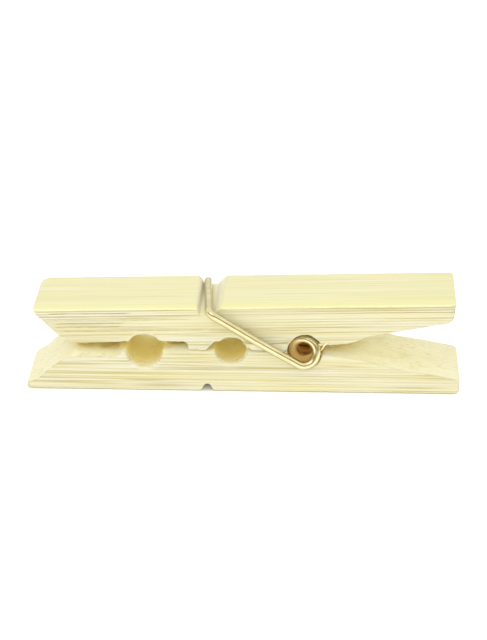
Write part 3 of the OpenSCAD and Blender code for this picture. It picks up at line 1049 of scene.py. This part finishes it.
def makeFibreTree():
    tree, entry, leave = makeTree("looseFibres", "Leg", "Fibres",
                                  {"Density": 1e6, "Length": 0.001, "Thickness": 0.00008}, {"Seed": 1})
    fuzz = addNode(tree, "GeometryNodeInputNamedAttribute", data_type="FLOAT")
    fuzz.inputs["Name"].default_value = "fuzz"
    amount = addNode(tree, "ShaderNodeMath", operation="MULTIPLY")
    scatter = addNode(tree, "GeometryNodeDistributePointsOnFaces")
    # one bent fibre, a unit long
    arc = addNode(tree, "GeometryNodeCurveQuadraticBezier",
                  {"Resolution": 6, "Start": (-0.5, 0, -0.03), "Middle": (0.0, 0.05, 0.02),
                   "End": (0.5, 0.0, 0.16)})
    circle = addNode(tree, "GeometryNodeCurvePrimitiveCircle", {"Resolution": 5})
    share = addNode(tree, "ShaderNodeMath", operation="DIVIDE")
    half = addNode(tree, "ShaderNodeMath", {1: 0.5}, operation="MULTIPLY")
    tube = addNode(tree, "GeometryNodeCurveToMesh", {"Fill Caps": True})
    # lies on the surface, mostly along the grain
    upright = addNode(tree, "FunctionNodeAlignRotationToVector", axis="Z")
    along = addNode(tree, "FunctionNodeAlignRotationToVector", {"Vector": (1, 0, 0)},
                    axis="X", pivot_axis="Z")
    swing = addNode(tree, "FunctionNodeRandomValue", data_type="FLOAT_VECTOR")
    swing.inputs["Min"].default_value = (-0.2, -0.25, -0.8)
    swing.inputs["Max"].default_value = (0.2, 0.05, 0.8)
    turn = addNode(tree, "FunctionNodeRotateRotation", rotation_space="LOCAL")
    toRotation = addNode(tree, "FunctionNodeEulerToRotation")
    size = addNode(tree, "FunctionNodeRandomValue", {2: 0.4, 3: 1.3}, data_type="FLOAT")
    longer = addNode(tree, "ShaderNodeMath", operation="MULTIPLY")
    place = addNode(tree, "GeometryNodeInstanceOnPoints")
    real = addNode(tree, "GeometryNodeRealizeInstances")
    finish = addNode(tree, "GeometryNodeSetMaterial")
    joinAll(tree, (fuzz, "Attribute", amount, 0), (entry, "Density", amount, 1),
            (entry, "Leg", scatter, "Mesh"), (amount, 0, scatter, "Density"),
            (entry, "Seed", scatter, "Seed"),
            (entry, "Thickness", share, 0), (entry, "Length", share, 1), (share, 0, half, 0),
            (half, 0, circle, "Radius"), (arc, "Curve", tube, "Curve"),
            (circle, "Curve", tube, "Profile Curve"),
            (scatter, "Normal", upright, "Vector"), (upright, "Rotation", along, "Rotation"),
            (entry, "Seed", swing, "Seed"), (swing, "Value", toRotation, "Euler"),
            (along, "Rotation", turn, "Rotation"), (toRotation, "Rotation", turn, "Rotate By"),
            (size, 1, longer, 0), (entry, "Length", longer, 1), (scatter, "Points", place, "Points"),
            (tube, "Mesh", place, "Instance"), (turn, "Rotation", place, "Rotation"),
            (longer, 0, place, "Scale"), (place, "Instances", real, "Geometry"),
            (real, "Geometry", finish, "Geometry"), (entry, "Finish", finish, "Material"),
            (finish, "Geometry", leave, "Fibres"))
    return tree


def makeSpotted(name, scale, uneven, low, high, first, second, rough):
    b = Board(name)
    spots = b.noise(b.places(), scale, 2.0, uneven)
    colour = b.mixColour(b.ramp(spots, low, high), fibres[first], fibres[second])
    b.join(colour, b.shader.inputs["Base Color"])
    b.shader.inputs["Roughness"].default_value = rough
    return b.material


fibreFinish = makeSpotted("looseFibre", 1.2, 0.5, 0.4, 0.65, "pale", "brown", 0.7)
# black-brown finish of the painted shadow slivers
shadowSliverFinish = makeSpotted("paintedShadowSlivers", 2.4, 0.6, 0.42, 0.62, "paintedShadowBlack", "paintedShadowBrown", 0.8)
fibreTree = makeFibreTree()
for index, (node, name) in enumerate((("lower_leg", "lowerFibres"), ("upper_leg", "upperFibres"))):
    values = {"Density": fibres["density"], "Length": fibres["length"] * mm,
              "Thickness": fibres["thickness"] * mm, "Seed": 5 + index, "Finish": fibreFinish}
    piece = bakeTree(legPieces[node], fibreTree, values, name)
    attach(piece, legs[node]["body"])
    print(name, "made:", len(piece.data.polygons), "faces")


# points along each sliver in mm, and its width in mm
splinters = {
    "atCoil": ([(13.05, -6.36, 7.55), (13.35, -6.42, 8.15), (13.75, -6.40, 8.75), (14.15, -6.30, 9.20)],
               0.26),
    "atGroove": ([(12.75, -6.34, 8.75), (13.1, -6.38, 8.6), (13.5, -6.30, 8.75)], 0.22),
    "atNotch": ([(0.2, -6.28, 8.62), (1.5, -6.36, 8.50), (3.0, -6.34, 8.56), (4.3, -6.27, 8.30)], 0.20),
}

# a painted shadow: black slivers along the groove's edge over and beside the coil, given in the same way
paintedGrooveShadow = {
    "overCoil": ([(8.55, -6.27, 9.50), (9.15, -6.30, 9.95), (9.9, -6.31, 10.22), (10.9, -6.31, 10.26),
                  (11.5, -6.31, 10.10), (12.1, -6.31, 9.60), (12.75, -6.29, 9.05)], 0.26),
    "besideCoil": ([(12.2, -6.30, 9.55), (12.7, -6.31, 9.05), (13.05, -6.30, 8.50)], 0.20),
}


def makeSplinters(name, lines, finish):
    # flat tapered slivers on the upper leg's front edge: pale splinters that still hang on, and black ones
    # that stand in for shadow
    points, faces = [], []
    sides, steps, flatness = 8, 14, 0.45
    outward = np.array((0, 1, 0))
    for line, width in lines.values():
        path = lanesAt(np.linspace(0, len(line) - 1, steps), range(len(line)), np.array(line))
        base = len(points)
        for i, place in enumerate(path):
            run = path[min(i + 1, steps - 1)] - path[max(i - 1, 0)]
            run /= np.linalg.norm(run)
            up = np.cross(run, outward)
            share = i / (steps - 1)
            size = width * 0.5 * (0.12 + math.sin(math.pi * (0.12 + 0.85 * share)) ** 0.7)
            for k in range(sides):
                a = 2 * math.pi * k / sides
                points.append(place + size * math.cos(a) * up + size * flatness * math.sin(a) * outward)
        for i in range(steps - 1):
            low, high = base + i * sides, base + (i + 1) * sides
            for k in range(sides):
                n = (k + 1) % sides
                faces.append((low + k, low + n, high + n, high + k))
        faces.append(tuple(base + k for k in range(sides))[::-1])
        faces.append(tuple(base + (steps - 1) * sides + k for k in range(sides)))
    piece = meshFrom(name, np.array(points) * mm, faces)
    piece.data.materials.append(finish)
    return piece


for name, lines, finish in (("splinters", splinters, fibreFinish), ("paintedShadowSlivers", paintedGrooveShadow, shadowSliverFinish)):
    piece = makeSplinters(name, lines, finish)
    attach(piece, "upper_half")
    print(name, "made:", len(piece.data.polygons), "faces")
